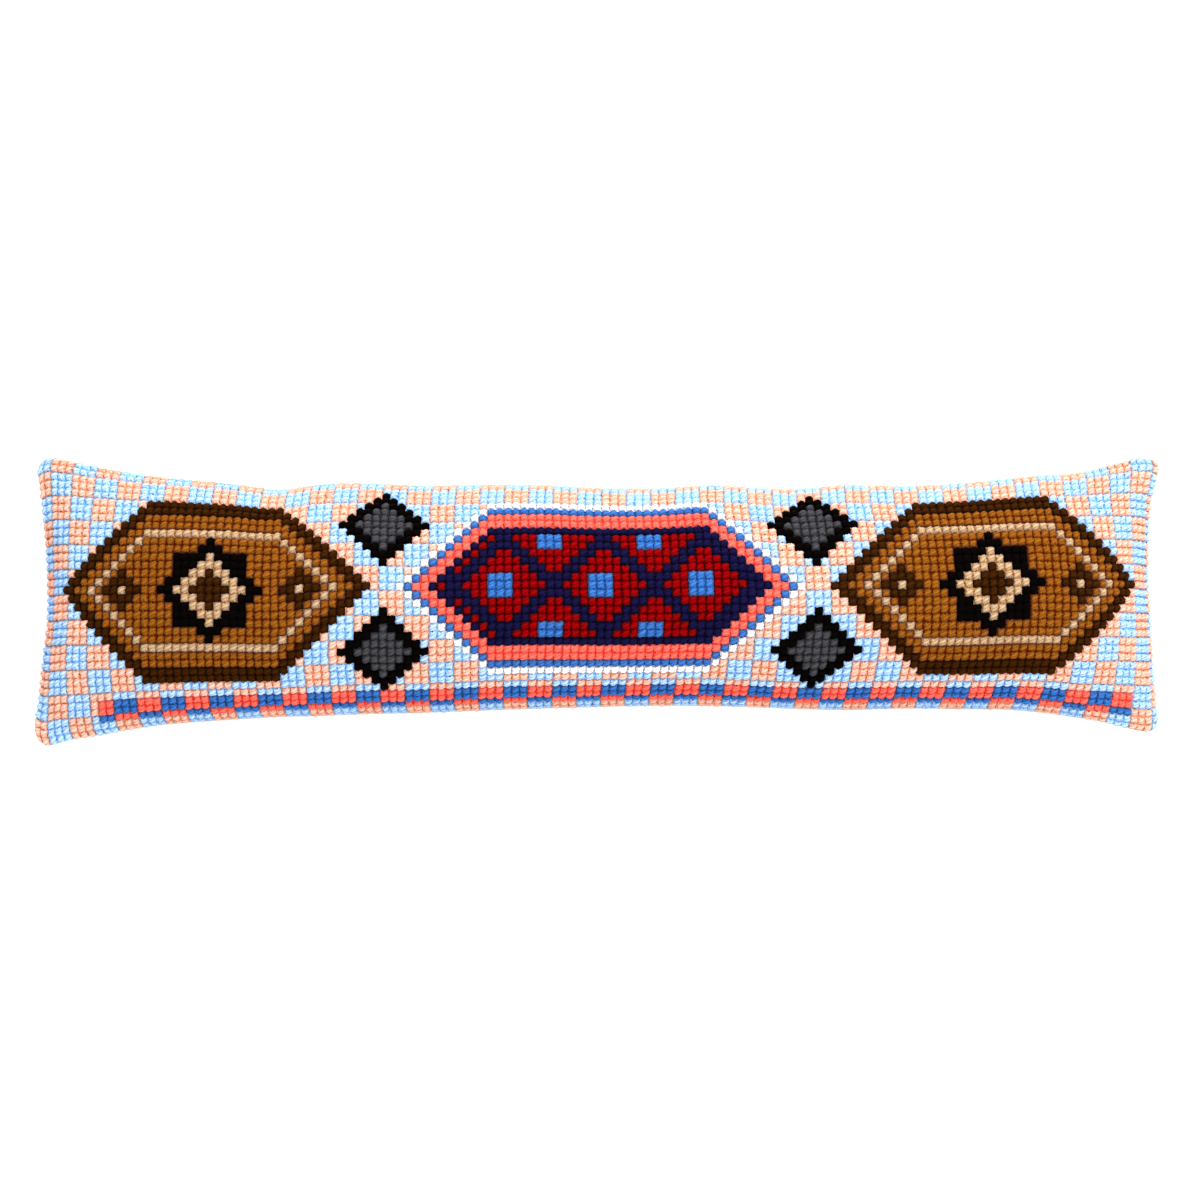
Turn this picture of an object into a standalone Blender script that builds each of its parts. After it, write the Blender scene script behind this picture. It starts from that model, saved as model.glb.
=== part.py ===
"""Draught excluder cushion: a long filled cushion with a cross-stitched front, lying on its back.

X runs along the cushion, Y across it, Z up out of the stitched face.  Lengths are in metres.
The underside is flat where it rests, at z = 0.
"""

import bpy
import bmesh
import numpy as np

MM = 0.001

# Sizes of the cushion
PANEL_THICKNESS = 3.0 * MM      # canvas and the wool crosses on it
PIECE_GAP = 0.3 * MM            # air between the stitched front and the filled body
RIM_GAP = 0.6 * MM              # how far the body reaches past the front's cut edge
EAR_THICKNESS = 2.0 * MM        # back cloth and seam turnings at a corner
SEAM_HEIGHT = 45.0 * MM         # seam above the surface, over the middle of the length
END_DROOP = 7.0 * MM            # how much lower the seam lies at the two ends
DROOP_START = 0.55              # part of the half length where the droop begins
BACK_FULLNESS = 0.98            # depth of the back against the crown of the front
SETTLE_BLEND = 1.5 * MM         # height of the soft turn onto the flat resting patch
FRONT_POWER = 0.6               # roundness of the front's section, 0.5 is an ellipse
BACK_POWER = 0.55               # roundness of the back's section
EAR_POWER = 1.0                 # the section by the end seams, where the two cloths meet in a point
ROUND_FROM = 40.0 * MM          # height of crown from which the section is fully rounded

# Number of faces along and across each surface
CELLS_ALONG = 72
CELLS_ACROSS = 18
END_CROWDING = 0.62             # 0 spaces the sections evenly, towards 1 crowds them to the ends
NORMAL_STEP = 0.004             # short step, on a grid from -1 to 1, that gives the face's direction
ON_RIM = 1 - 1e-6               # grid values past this lie on the cut edge
BOX_SIDE = 2.0                  # the box that each piece starts from runs from -1 to 1

# Sections of the cushion, in millimetres: place along the long seams, upper seam, lower seam
# and the height of the crown above the seam
STATION_COLUMNS = ("x", "upper", "lower", "crown")
STATIONS = (
    (-383.6, 95.8, -95.4, 0.0),
    (-380.0, 98.8, -98.6, 6.5),
    (-375.0, 99.8, -99.6, 13.0),
    (-369.0, 98.9, -98.4, 19.0),
    (-361.0, 97.4, -96.6, 24.5),
    (-342.0, 93.4, -93.8, 30.6),
    (-321.0, 89.2, -89.6, 35.6),
    (-300.0, 85.8, -86.2, 39.2),
    (-273.0, 83.1, -83.6, 42.6),
    (-245.0, 80.4, -81.8, 45.6),
    (-218.0, 77.0, -80.2, 48.0),
    (-190.0, 80.6, -79.6, 47.8),
    (-163.0, 81.5, -78.4, 48.1),
    (-121.0, 79.9, -77.5, 49.2),
    (-80.0, 80.2, -76.1, 49.8),
    (-39.0, 80.1, -74.7, 50.8),
    (3.0, 77.8, -73.4, 52.3),
    (44.0, 77.8, -72.7, 52.6),
    (75.0, 79.7, -72.8, 52.0),
    (106.0, 78.3, -73.5, 52.2),
    (130.0, 77.1, -74.4, 52.2),
    (168.0, 80.1, -75.4, 50.8),
    (210.0, 79.4, -74.4, 51.0),
    (251.0, 81.7, -74.8, 49.8),
    (285.0, 85.0, -75.4, 47.0),
    (304.0, 87.1, -77.2, 44.4),
    (327.0, 88.4, -80.4, 40.8),
    (341.0, 91.8, -82.8, 37.0),
    (356.0, 96.2, -86.8, 30.8),
    (368.0, 99.2, -89.6, 22.4),
    (375.0, 99.6, -90.4, 15.6),
    (381.0, 98.8, -89.6, 7.5),
    (384.6, 96.2, -87.2, 0.0),
)

# The two end seams, in millimetres: level from -1 at the lower corner to 1 at the upper corner,
# and the place of each end seam at that level
END_COLUMNS = ("level", "left", "right")
END_SEAMS = (
    (-1.00, -383.9, 384.0),
    (-0.95, -386.2, 385.2),
    (-0.88, -386.6, 385.0),
    (-0.72, -384.8, 383.9),
    (-0.43, -382.0, 382.1),
    (-0.14, -378.9, 380.6),
    (0.14, -378.9, 379.4),
    (0.43, -380.7, 380.2),
    (0.72, -383.6, 382.6),
    (0.88, -385.8, 386.4),
    (0.95, -386.2, 387.4),
    (1.00, -383.4, 385.2),
)


def clear_scene():
    """Remove every object of the open scene."""
    for thing in list(bpy.data.objects):
        bpy.data.objects.remove(thing, do_unlink=True)


def read_smooth(columns, rows, across, wanted, at):
    """Smooth curve through one column of a table, read at the values 'at' of another column.

    Each span is a cubic whose end slopes are the mean slopes over the neighbouring rows.
    """
    table = np.array(rows)
    x = table[:, columns.index(across)]
    y = table[:, columns.index(wanted)]
    slope = np.gradient(y, x)
    at = np.clip(at, x[0], x[-1])
    span = np.clip(np.searchsorted(x, at) - 1, 0, len(x) - 2)
    width = x[span + 1] - x[span]
    u = (at - x[span]) / width
    rise = y[span + 1] - y[span]
    start = slope[span] * width
    finish = slope[span + 1] * width
    return y[span] + u * (start + u * ((3 * rise - 2 * start - finish) + u * (start + finish - 2 * rise)))


def crowd_to_ends(a):
    """Place along the length, -1 to 1, with the sections closer together near the ends."""
    return (1 - END_CROWDING) * a + END_CROWDING * np.sin(a * np.pi / 2)


def crowd_to_seams(b):
    """Place across the width, -1 to 1, with the rows closer together near the long seams."""
    return np.sin(b * np.pi / 2)


def plan(a, b):
    """Plan of the cushion: a patch stretched between the two long seams and the two end seams."""
    along = (crowd_to_ends(a) + 1) / 2
    level = crowd_to_seams(b)
    across = (level + 1) / 2
    table = np.array(STATIONS)
    station = table[0, 0] + along * (table[-1, 0] - table[0, 0])
    upper = read_smooth(STATION_COLUMNS, STATIONS, "x", "upper", station)
    lower = read_smooth(STATION_COLUMNS, STATIONS, "x", "lower", station)
    left = read_smooth(END_COLUMNS, END_SEAMS, "level", "left", level)
    right = read_smooth(END_COLUMNS, END_SEAMS, "level", "right", level)
    x = left + along * (right - left)
    y = lower + across * (upper - lower)
    return x * MM, y * MM


def outline_centre():
    """Middle of the box round the seam, which the frame's origin lies under."""
    edge = np.linspace(-1, 1, 2 * CELLS_ALONG + 1)
    one = np.ones_like(edge)
    sides = [plan(edge, one), plan(edge, -one), plan(one, edge), plan(-one, edge)]
    x = np.concatenate([side[0] for side in sides])
    y = np.concatenate([side[1] for side in sides])
    return (x.min() + x.max()) / 2, (y.min() + y.max()) / 2


CENTRE_X, CENTRE_Y = outline_centre()


def crown(a):
    """Height of the front above the seam, along the middle row."""
    table = np.array(STATIONS)
    along = (crowd_to_ends(a) + 1) / 2
    station = table[0, 0] + along * (table[-1, 0] - table[0, 0])
    return read_smooth(STATION_COLUMNS, STATIONS, "x", "crown", station) * MM


def seam_height(a):
    """Height of the seam above the surface: level, then drooping a little towards the ends."""
    past = np.clip((np.abs(crowd_to_ends(a)) - DROOP_START) / (1 - DROOP_START), 0, 1)
    return SEAM_HEIGHT - END_DROOP * past ** 2


def rounded_section(a, level, power):
    """Height across the cushion, from 0 at the seams to 1: pointed by the ends and round between."""
    round_part = np.clip(crown(a) / ROUND_FROM, 0, 1)
    blend = power + (EAR_POWER - power) * (1 - round_part ** 2)
    return np.clip(1 - level ** 2, 0, 1) ** blend


def front_point(a, b):
    """Point of the stitched face: the seam height plus the crown times a rounded section."""
    x, y = plan(a, b)
    z = seam_height(a) + crown(a) * rounded_section(a, crowd_to_seams(b), FRONT_POWER)
    return np.stack([x - CENTRE_X, y - CENTRE_Y, z], axis=-1)


def front_normal(a, b):
    """Outward direction of the stitched face, from two short steps along and across it."""
    along = front_point(np.minimum(a + NORMAL_STEP, 1), b) - front_point(np.maximum(a - NORMAL_STEP, -1), b)
    across = front_point(a, np.minimum(b + NORMAL_STEP, 1)) - front_point(a, np.maximum(b - NORMAL_STEP, -1))
    normal = np.cross(along, across)
    return normal / np.linalg.norm(normal, axis=-1, keepdims=True)


def outward_at_rim(a, b):
    """Direction that runs outwards along the face at its cut edge."""
    inside = front_point(a * (1 - 2 * NORMAL_STEP), b * (1 - 2 * NORMAL_STEP))
    step = front_point(a, b) - inside
    return step / np.linalg.norm(step, axis=-1, keepdims=True)


def settle(z):
    """Rest the underside on the surface: flat where it would sink in, with a soft turn beside it."""
    turn = z ** 2 / (4 * SETTLE_BLEND)
    return np.where(z <= 0, 0.0, np.where(z < 2 * SETTLE_BLEND, turn, z - SETTLE_BLEND))


def back_point(a, b):
    """Point of the back: as deep as the front is high, rounder, and flat where it rests."""
    x, y = plan(a, b)
    section = rounded_section(a, crowd_to_seams(b), BACK_POWER)
    ear = PANEL_THICKNESS + 2 * PIECE_GAP + EAR_THICKNESS
    depth = np.hypot(ear, crown(a) * BACK_FULLNESS * section)
    z = settle(seam_height(a) - depth + SETTLE_BLEND)
    return np.stack([x - CENTRE_X, y - CENTRE_Y, z], axis=-1)


def subdivided_box(along, across):
    """A box two units wide cut into 'along' by 'across' cells on its top and bottom."""
    bm = bmesh.new()
    bmesh.ops.create_cube(bm, size=BOX_SIDE)
    for axis, cells in ((0, along), (1, across)):
        edges = [e for e in bm.edges if abs(e.verts[0].co[axis] - e.verts[1].co[axis]) > BOX_SIDE / 2]
        bmesh.ops.subdivide_edges(bm, edges=edges, cuts=cells - 1, use_grid_fill=True)
    return bm


def shape_box(bm, top_points, bottom_points):
    """Move the box's top and bottom points to the two surfaces that the functions give."""
    bm.verts.ensure_lookup_table()
    box = np.array([v.co[:] for v in bm.verts])
    a, b = box[:, 0], box[:, 1]
    rim = np.maximum(np.abs(a), np.abs(b)) > ON_RIM
    upper = box[:, 2] > 0
    shaped = np.where(upper[:, None], top_points(a, b, rim), bottom_points(a, b, rim))
    for vert, place in zip(bm.verts, shaped):
        vert.co = place


def panel_outside(a, b, rim):
    """Face of the stitched front."""
    return front_point(a, b)


def panel_inside(a, b, rim):
    """Wrong side of the stitched front, its own thickness further in."""
    return front_point(a, b) - PANEL_THICKNESS * front_normal(a, b)


def body_front(a, b, rim):
    """Front of the filled body, just inside the stitched front and a little past its cut edge."""
    inside = front_point(a, b) - (PANEL_THICKNESS + PIECE_GAP) * front_normal(a, b)
    past_edge = RIM_GAP * outward_at_rim(a, b)
    return np.where(rim[:, None], inside + past_edge, inside)


def body_back(a, b, rim):
    """Back of the filled body, out to the seam below the front's cut edge."""
    normal = front_normal(a, b)
    facing_up = np.clip(normal[:, 2:3], 0, 1)
    seam = front_point(a, b) - (PANEL_THICKNESS + PIECE_GAP) * facing_up * normal
    seam = seam + RIM_GAP * outward_at_rim(a, b)
    seam[:, 2:3] -= PIECE_GAP + EAR_THICKNESS * facing_up
    return np.where(rim[:, None], seam, back_point(a, b))


def make_material(name, colour, roughness):
    """Plain woven or stitched cloth."""
    material = bpy.data.materials.new(name)
    material.use_nodes = True
    shader = material.node_tree.nodes["Principled BSDF"]
    shader.inputs["Base Color"].default_value = (*colour, 1.0)
    shader.inputs["Roughness"].default_value = roughness
    shader.inputs["Metallic"].default_value = 0.0
    material.diffuse_color = (*colour, 1.0)
    return material


def stitched_wool():
    """Light blue wool, the ground colour of the stitched face."""
    return make_material("stitched_wool", (0.42, 0.70, 0.89), 0.9)


def back_cotton():
    """Unbleached cotton of the back."""
    return make_material("back_cotton", (0.79, 0.73, 0.62), 0.88)


def make_piece(name, collection, material, top_points, bottom_points):
    """A closed piece between two surfaces, shaded smooth."""
    bm = subdivided_box(CELLS_ALONG, CELLS_ACROSS)
    shape_box(bm, top_points, bottom_points)
    bmesh.ops.triangulate(bm, faces=bm.faces[:], quad_method="SHORT_EDGE")
    bmesh.ops.recalc_face_normals(bm, faces=bm.faces[:])
    mesh = bpy.data.meshes.new(name)
    bm.to_mesh(mesh)
    bm.free()
    for face in mesh.polygons:
        face.use_smooth = True
    mesh.materials.append(material)
    piece = bpy.data.objects.new(name, mesh)
    collection.objects.link(piece)
    return piece


def build():
    """The whole cushion: its filled body and the stitched front sewn over it."""
    clear_scene()
    collection = bpy.data.collections.new("draught_excluder")
    bpy.context.scene.collection.children.link(collection)
    make_piece("filled_body", collection, back_cotton(), body_front, body_back)
    make_piece("stitched_front", collection, stitched_wool(), panel_outside, panel_inside)


build()
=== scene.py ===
"""Draught excluder cushion: the wool cross stitch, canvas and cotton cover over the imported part.

X runs along the cushion, Y across it, Z up out of the stitched face.  Lengths are in metres.
Every surface is a function of two parameters, worked out as whole arrays.
"""

import math

import bpy
import numpy as np
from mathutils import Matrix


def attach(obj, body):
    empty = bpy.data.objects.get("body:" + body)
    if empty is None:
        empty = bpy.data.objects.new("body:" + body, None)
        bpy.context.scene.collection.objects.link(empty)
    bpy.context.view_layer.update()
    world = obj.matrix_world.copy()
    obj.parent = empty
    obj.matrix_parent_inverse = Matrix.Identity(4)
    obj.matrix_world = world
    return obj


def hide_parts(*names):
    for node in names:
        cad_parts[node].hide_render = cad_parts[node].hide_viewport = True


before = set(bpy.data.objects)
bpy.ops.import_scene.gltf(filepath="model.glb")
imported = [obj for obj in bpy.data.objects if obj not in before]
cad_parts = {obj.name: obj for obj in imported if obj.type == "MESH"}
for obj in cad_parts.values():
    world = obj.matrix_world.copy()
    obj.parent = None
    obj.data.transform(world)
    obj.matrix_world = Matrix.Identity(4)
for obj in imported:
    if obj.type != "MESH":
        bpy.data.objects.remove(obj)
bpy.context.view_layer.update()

MM = 0.001

# ---------------- sizes of the cushion
SEAM_HEIGHT = 45.0 * MM         # seam above the surface, over the middle of the length
END_DROOP = 7.0 * MM            # how much lower the seam lies at the two ends
DROOP_START = 0.55              # part of the half length where the droop begins
BACK_FULLNESS = 0.98            # depth of the back against the crown of the front
SETTLE_BLEND = 1.5 * MM         # height of the soft turn onto the flat resting patch
FRONT_POWER = 0.6               # roundness of the front's section, 0.5 is an ellipse
BACK_POWER = 0.55               # roundness of the back's section
EAR_POWER = 1.0                 # the section by the end seams, where the two cloths meet in a point
ROUND_FROM = 40.0 * MM          # height of crown from which the section is fully rounded
EAR_DEPTH = 5.6 * MM            # seam turnings between the stitched face and the back, at a corner
END_CROWDING = 0.62             # 0 spaces the sections evenly, towards 1 crowds them to the ends
SEAM_POINTS = 145               # points read along each seam for the box round them, as in the part

# Sections of the cushion, in millimetres: place along the long seams, upper seam, lower seam
# and the height of the crown above the seam
STATION_COLUMNS = ("x", "upper", "lower", "crown")
STATIONS = (
    (-383.6, 95.8, -95.4, 0.0),
    (-380.0, 98.8, -98.6, 6.5),
    (-375.0, 99.8, -99.6, 13.0),
    (-369.0, 98.9, -98.4, 19.0),
    (-361.0, 97.4, -96.6, 24.5),
    (-342.0, 93.4, -93.8, 30.6),
    (-321.0, 89.2, -89.6, 35.6),
    (-300.0, 85.8, -86.2, 39.2),
    (-273.0, 83.1, -83.6, 42.6),
    (-245.0, 80.4, -81.8, 45.6),
    (-218.0, 77.0, -80.2, 48.0),
    (-190.0, 80.6, -79.6, 47.8),
    (-163.0, 81.5, -78.4, 48.1),
    (-121.0, 79.9, -77.5, 49.2),
    (-80.0, 80.2, -76.1, 49.8),
    (-39.0, 80.1, -74.7, 50.8),
    (3.0, 77.8, -73.4, 52.3),
    (44.0, 77.8, -72.7, 52.6),
    (75.0, 79.7, -72.8, 52.0),
    (106.0, 78.3, -73.5, 52.2),
    (130.0, 77.1, -74.4, 52.2),
    (168.0, 80.1, -75.4, 50.8),
    (210.0, 79.4, -74.4, 51.0),
    (251.0, 81.7, -74.8, 49.8),
    (285.0, 85.0, -75.4, 47.0),
    (304.0, 87.1, -77.2, 44.4),
    (327.0, 88.4, -80.4, 40.8),
    (341.0, 91.8, -82.8, 37.0),
    (356.0, 96.2, -86.8, 30.8),
    (368.0, 99.2, -89.6, 22.4),
    (375.0, 99.6, -90.4, 15.6),
    (381.0, 98.8, -89.6, 7.5),
    (384.6, 96.2, -87.2, 0.0),
)

# The two end seams, in millimetres: level from -1 at the lower corner to 1 at the upper corner,
# and the place of each end seam at that level
END_COLUMNS = ("level", "left", "right")
END_SEAMS = (
    (-1.00, -383.9, 384.0),
    (-0.95, -386.2, 385.2),
    (-0.88, -386.6, 385.0),
    (-0.72, -384.8, 383.9),
    (-0.43, -382.0, 382.1),
    (-0.14, -378.9, 380.6),
    (0.14, -378.9, 379.4),
    (0.43, -380.7, 380.2),
    (0.72, -383.6, 382.6),
    (0.88, -385.8, 386.4),
    (0.95, -386.2, 387.4),
    (1.00, -383.4, 385.2),
)

# ---------------- the canvas and its crosses
COLUMNS = 141                   # crosses along the panel
ROWS = 35                       # crosses across the panel
FLAT_LENGTH = 0.796             # the panel laid flat: 141 and 35 holes at 5.64 mm
FLAT_WIDTH = 0.198
FINE = 3                        # surface points kept for each cross, both ways
EVEN_ROUNDS = 8                 # rounds that even out the spacing of the holes
CANVAS_TOP = 2.55 * MM          # canvas under the wool's outer face, upper and lower side
CANVAS_BOTTOM = 3.00 * MM
BODY_INSET = 3.35 * MM          # filled body under the wool's outer face
BODY_ALONG = 282                # cells of the filled body's net along the cushion
BODY_ACROSS = 70                # and across it
STRIP_SPREAD = 0.02             # how far the cloth's map goes on over its edge strip
PUCKER_DEPTH = 1.1 * MM         # small gathers of the cotton beside its seams
PUCKER_PITCH = 17.0 * MM
PUCKER_REACH = 8.0 * MM         # distance from the seam at which they are deepest
PUCKER_WANDER = ((1.9, 5.3), (1.1, 2.7))   # the waves they wander by: size, and how much slower
SEAM_GAP = 0.3 * MM             # the cover's edge lies this far under the stitched face's
SEAM_DROP = 2.0 * MM            # and this much further where the face is level
CANVAS_RIM = 0.1                # grey of the canvas's cut edge


def read_smooth(columns, rows, wanted, at):
    """Smooth curve through one column of a table, read at the values 'at' of its first column.

    Each span is a cubic whose end slopes are the mean slopes over the neighbouring rows.
    """
    table = np.array(rows)
    x = table[:, 0]
    y = table[:, columns.index(wanted)]
    slope = np.gradient(y, x)
    at = np.clip(at, x[0], x[-1])
    span = np.clip(np.searchsorted(x, at) - 1, 0, len(x) - 2)
    width = x[span + 1] - x[span]
    u = (at - x[span]) / width
    rise = y[span + 1] - y[span]
    start = slope[span] * width
    finish = slope[span + 1] * width
    square = 3 * rise - 2 * start - finish
    cube = start + finish - 2 * rise
    return y[span] + u * (start + u * (square + u * cube))


def crowd_to_ends(a):
    """Place along the length: a straight line mixed with a quarter sine towards each end."""
    return (1 - END_CROWDING) * a + END_CROWDING * np.sin(a * np.pi / 2)


def crowd_to_seams(b):
    """Place across the width: a quarter sine towards each long seam."""
    return np.sin(b * np.pi / 2)


def station_at(along):
    """Place in the table of sections, in millimetres, at a part of the length from 0 to 1."""
    table = np.array(STATIONS)
    return table[0, 0] + along * (table[-1, 0] - table[0, 0])


def plan(a, b):
    """Plan of the cushion: a patch stretched between the two long seams and the two end seams."""
    along = (crowd_to_ends(a) + 1) / 2
    level = crowd_to_seams(b)
    across = (level + 1) / 2
    station = station_at(along)
    upper = read_smooth(STATION_COLUMNS, STATIONS, "upper", station)
    lower = read_smooth(STATION_COLUMNS, STATIONS, "lower", station)
    left = read_smooth(END_COLUMNS, END_SEAMS, "left", level)
    right = read_smooth(END_COLUMNS, END_SEAMS, "right", level)
    x = left + along * (right - left)
    y = lower + across * (upper - lower)
    return x * MM, y * MM


def outline_centre():
    """Middle of the box round the four seams, read at the part's own points."""
    edge = np.linspace(-1, 1, SEAM_POINTS)
    one = np.ones_like(edge)
    sides = [plan(edge, one), plan(edge, -one), plan(one, edge), plan(-one, edge)]
    x = np.concatenate([side[0] for side in sides])
    y = np.concatenate([side[1] for side in sides])
    return (x.min() + x.max()) / 2, (y.min() + y.max()) / 2


CENTRE_X, CENTRE_Y = outline_centre()


def crown(a):
    """Height of the front above the seam, along the middle row."""
    station = station_at((crowd_to_ends(a) + 1) / 2)
    return read_smooth(STATION_COLUMNS, STATIONS, "crown", station) * MM


def seam_height(a):
    """Height of the seam: level over the middle, then drooping as a square towards the ends."""
    past = np.clip((np.abs(crowd_to_ends(a)) - DROOP_START) / (1 - DROOP_START), 0, 1)
    return SEAM_HEIGHT - END_DROOP * past ** 2


def rounded_section(a, level, power):
    """Height across: one less the level squared, to a power that grows by the ends, for a point."""
    round_part = np.clip(crown(a) / ROUND_FROM, 0, 1)
    blend = power + (EAR_POWER - power) * (1 - round_part ** 2)
    return np.clip(1 - level ** 2, 0, 1) ** blend


def front_point(a, b):
    """Point of the stitched face: the seam height plus the crown times a rounded section."""
    x, y = plan(a, b)
    z = seam_height(a) + crown(a) * rounded_section(a, crowd_to_seams(b), FRONT_POWER)
    return np.stack([x - CENTRE_X, y - CENTRE_Y, z], axis=-1)


def settle(z):
    """Rest the underside on the surface: flat where it would sink in, a square's turn beside it."""
    turn = z ** 2 / (4 * SETTLE_BLEND)
    return np.where(z <= 0, 0.0, np.where(z < 2 * SETTLE_BLEND, turn, z - SETTLE_BLEND))


def back_point(a, b):
    """Point of the back: as deep as the front is high, rounder, and flat where it rests."""
    x, y = plan(a, b)
    section = rounded_section(a, crowd_to_seams(b), BACK_POWER)
    depth = np.hypot(EAR_DEPTH, crown(a) * BACK_FULLNESS * section)
    z = settle(seam_height(a) - depth + SETTLE_BLEND)
    return np.stack([x - CENTRE_X, y - CENTRE_Y, z], axis=-1)


# ---------------- the net of holes
def arc_fraction(points):
    """Length run along each line of points, from 0 to 1, on the last but one axis."""
    step = np.linalg.norm(np.diff(points, axis=1), axis=-1)
    run = np.concatenate([np.zeros((len(points), 1)), np.cumsum(step, axis=1)], axis=1)
    return run / run[:, -1:]


def respaced(value, fraction, even):
    """'value' read at evenly spaced lengths, every line at once: each line is set two apart."""
    line = 2.0 * np.arange(len(fraction))[:, None]
    read = np.interp((even + line).ravel(), (fraction + line).ravel(), value.ravel())
    return read.reshape(value.shape)


def even_net(point, columns, rows):
    """Parameters of a net whose lines all have evenly spaced points.

    The spacing is evened along every line one way, then the other, for a few rounds.
    """
    a, b = np.meshgrid(np.linspace(-1, 1, columns + 1), np.linspace(-1, 1, rows + 1), indexing="ij")
    for _ in range(EVEN_ROUNDS):
        fraction = arc_fraction(point(a, b).transpose(1, 0, 2))
        even = np.linspace(0, 1, columns + 1)[None, :]
        a, b = respaced(a.T, fraction, even).T, respaced(b.T, fraction, even).T
        fraction = arc_fraction(point(a, b))
        even = np.linspace(0, 1, rows + 1)[None, :]
        a, b = respaced(a, fraction, even), respaced(b, fraction, even)
    return a, b


def net_normals(points):
    """Outward direction at each point of a net: the cross product of its central differences."""
    along = np.gradient(points, axis=0)
    across = np.gradient(points, axis=1)
    normal = np.cross(along, across)
    return normal / np.linalg.norm(normal, axis=-1, keepdims=True)


def read_net(net, s, t):
    """A net's values between its points, by weighing the four nearest.  s and t count its cells."""
    i = np.clip(np.floor(s).astype(int), 0, net.shape[0] - 2)
    j = np.clip(np.floor(t).astype(int), 0, net.shape[1] - 2)
    u = (s - i)[..., None]
    v = (t - j)[..., None]
    near = net[i, j] * (1 - u) + net[i + 1, j] * u
    far = net[i, j + 1] * (1 - u) + net[i + 1, j + 1] * u
    return near * (1 - v) + far * v


# ---------------- mesh making
def put_in_scene(name, data):
    """A new object in the scene for a mesh, a light or a camera."""
    thing = bpy.data.objects.new(name, data)
    bpy.context.scene.collection.objects.link(thing)
    return thing


def lay_mesh(name, points, corners, sizes, uvs=None):
    """A mesh from its points, each face's corners in a row, and how many corners each face has."""
    mesh = bpy.data.meshes.new(name)
    mesh.vertices.add(len(points))
    mesh.vertices.foreach_set("co", np.ascontiguousarray(points, dtype=np.float32).ravel())
    mesh.loops.add(len(corners))
    mesh.loops.foreach_set("vertex_index", corners.astype(np.int32))
    mesh.polygons.add(len(sizes))
    mesh.polygons.foreach_set("loop_start", (np.cumsum(sizes) - sizes).astype(np.int32))
    mesh.polygons.foreach_set("use_smooth", np.ones(len(sizes), dtype=bool))
    for title, values in (uvs or {}).items():
        layer = mesh.uv_layers.new(name=title, do_init=False)
        layer.data.foreach_set("uv", np.ascontiguousarray(values, dtype=np.float32).ravel())
    mesh.update(calc_edges=True)
    return put_in_scene(name, mesh)


def grid_corners(n, m, first=0, flip=False):
    """The four corners of each cell of an n by m net of points, numbered row by row."""
    i, j = np.meshgrid(np.arange(n - 1), np.arange(m - 1), indexing="ij")
    low = first + i * m + j
    cells = np.stack([low, low + m, low + m + 1, low + 1], axis=-1).reshape(-1, 4)
    return cells[:, ::-1] if flip else cells


def rim_numbers(n, m):
    """Numbers of a net's edge points, once round, anticlockwise seen from above."""
    return np.concatenate([
        np.arange(n) * m,
        (n - 1) * m + np.arange(1, m),
        np.arange(n - 2, -1, -1) * m + m - 1,
        np.arange(m - 2, 0, -1)])


def closed_net(name, top, bottom, top_uv, bottom_uv):
    """A closed piece between two nets of the same size, joined round the edge by a strip.

    On the strip the map goes on outwards from the upper net's edge.
    """
    n, m = top.shape[:2]
    rim = rim_numbers(n, m)
    following = np.roll(rim, -1)
    strip = np.stack([rim + n * m, following + n * m, following, rim], axis=-1)
    faces = np.concatenate([grid_corners(n, m), grid_corners(n, m, n * m, flip=True), strip])
    points = np.concatenate([top.reshape(-1, 3), bottom.reshape(-1, 3)])
    corners = faces.ravel()
    edge = top_uv.reshape(-1, 2)
    outside = edge + STRIP_SPREAD * (edge - edge.mean(axis=0))
    uv = np.concatenate([edge, bottom_uv.reshape(-1, 2)])[corners]
    strip_uv = np.stack([outside[rim], outside[following], edge[following], edge[rim]], axis=1)
    uv[-strip.size:] = strip_uv.reshape(-1, 2)
    return lay_mesh(name, points, corners, np.full(len(faces), 4), {"cloth": uv})


# ---------------- the filled cover, by simulation
SIM_ALONG = 94                  # cloth cells along the cushion
SIM_ACROSS = 28                 # and across it
SIM_FRAMES = 20
SIM_SETTINGS = {                # a stiff cloth, canvas and wool, held along its seam
    "quality": 6, "mass": 0.4, "tension_stiffness": 25.0, "compression_stiffness": 25.0,
    "shear_stiffness": 8.0, "bending_stiffness": 10.0, "use_pressure": True,
    "uniform_pressure_force": 4.0, "vertex_group_mass": "seam"}
SIM_START_INSET = 0.6 * MM      # the simulation starts from a slightly smaller shape
MOVE_CAP = 5.0 * MM             # furthest that a point may move
SOFTEN_ROUNDS = 2               # rounds that soften the moves before the fine net reads them
UNEVEN = 0.4 * MM               # height of the filling's own lumps
LUMP_WAVES = 8
LUMP_TURNS = (3.0, 9.0)         # fewest and most of a wave's turns in a metre
SEED = 11


def soft_lumps(points, seed):
    """Broad unevenness of a hand-filled cushion: a sum of slow waves, mostly between -1 and 1."""
    draw = np.random.default_rng(seed)
    total = np.zeros(points.shape[:-1])
    for _ in range(LUMP_WAVES):
        turns = draw.uniform(*LUMP_TURNS)
        heading = draw.uniform(0, 2 * np.pi)
        phase = draw.uniform(0, 2 * np.pi)
        run = points[..., 0] * np.cos(heading) + points[..., 1] * np.sin(heading)
        total += np.sin(2 * np.pi * turns * run + phase)
    return total / LUMP_WAVES ** 0.5


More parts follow.
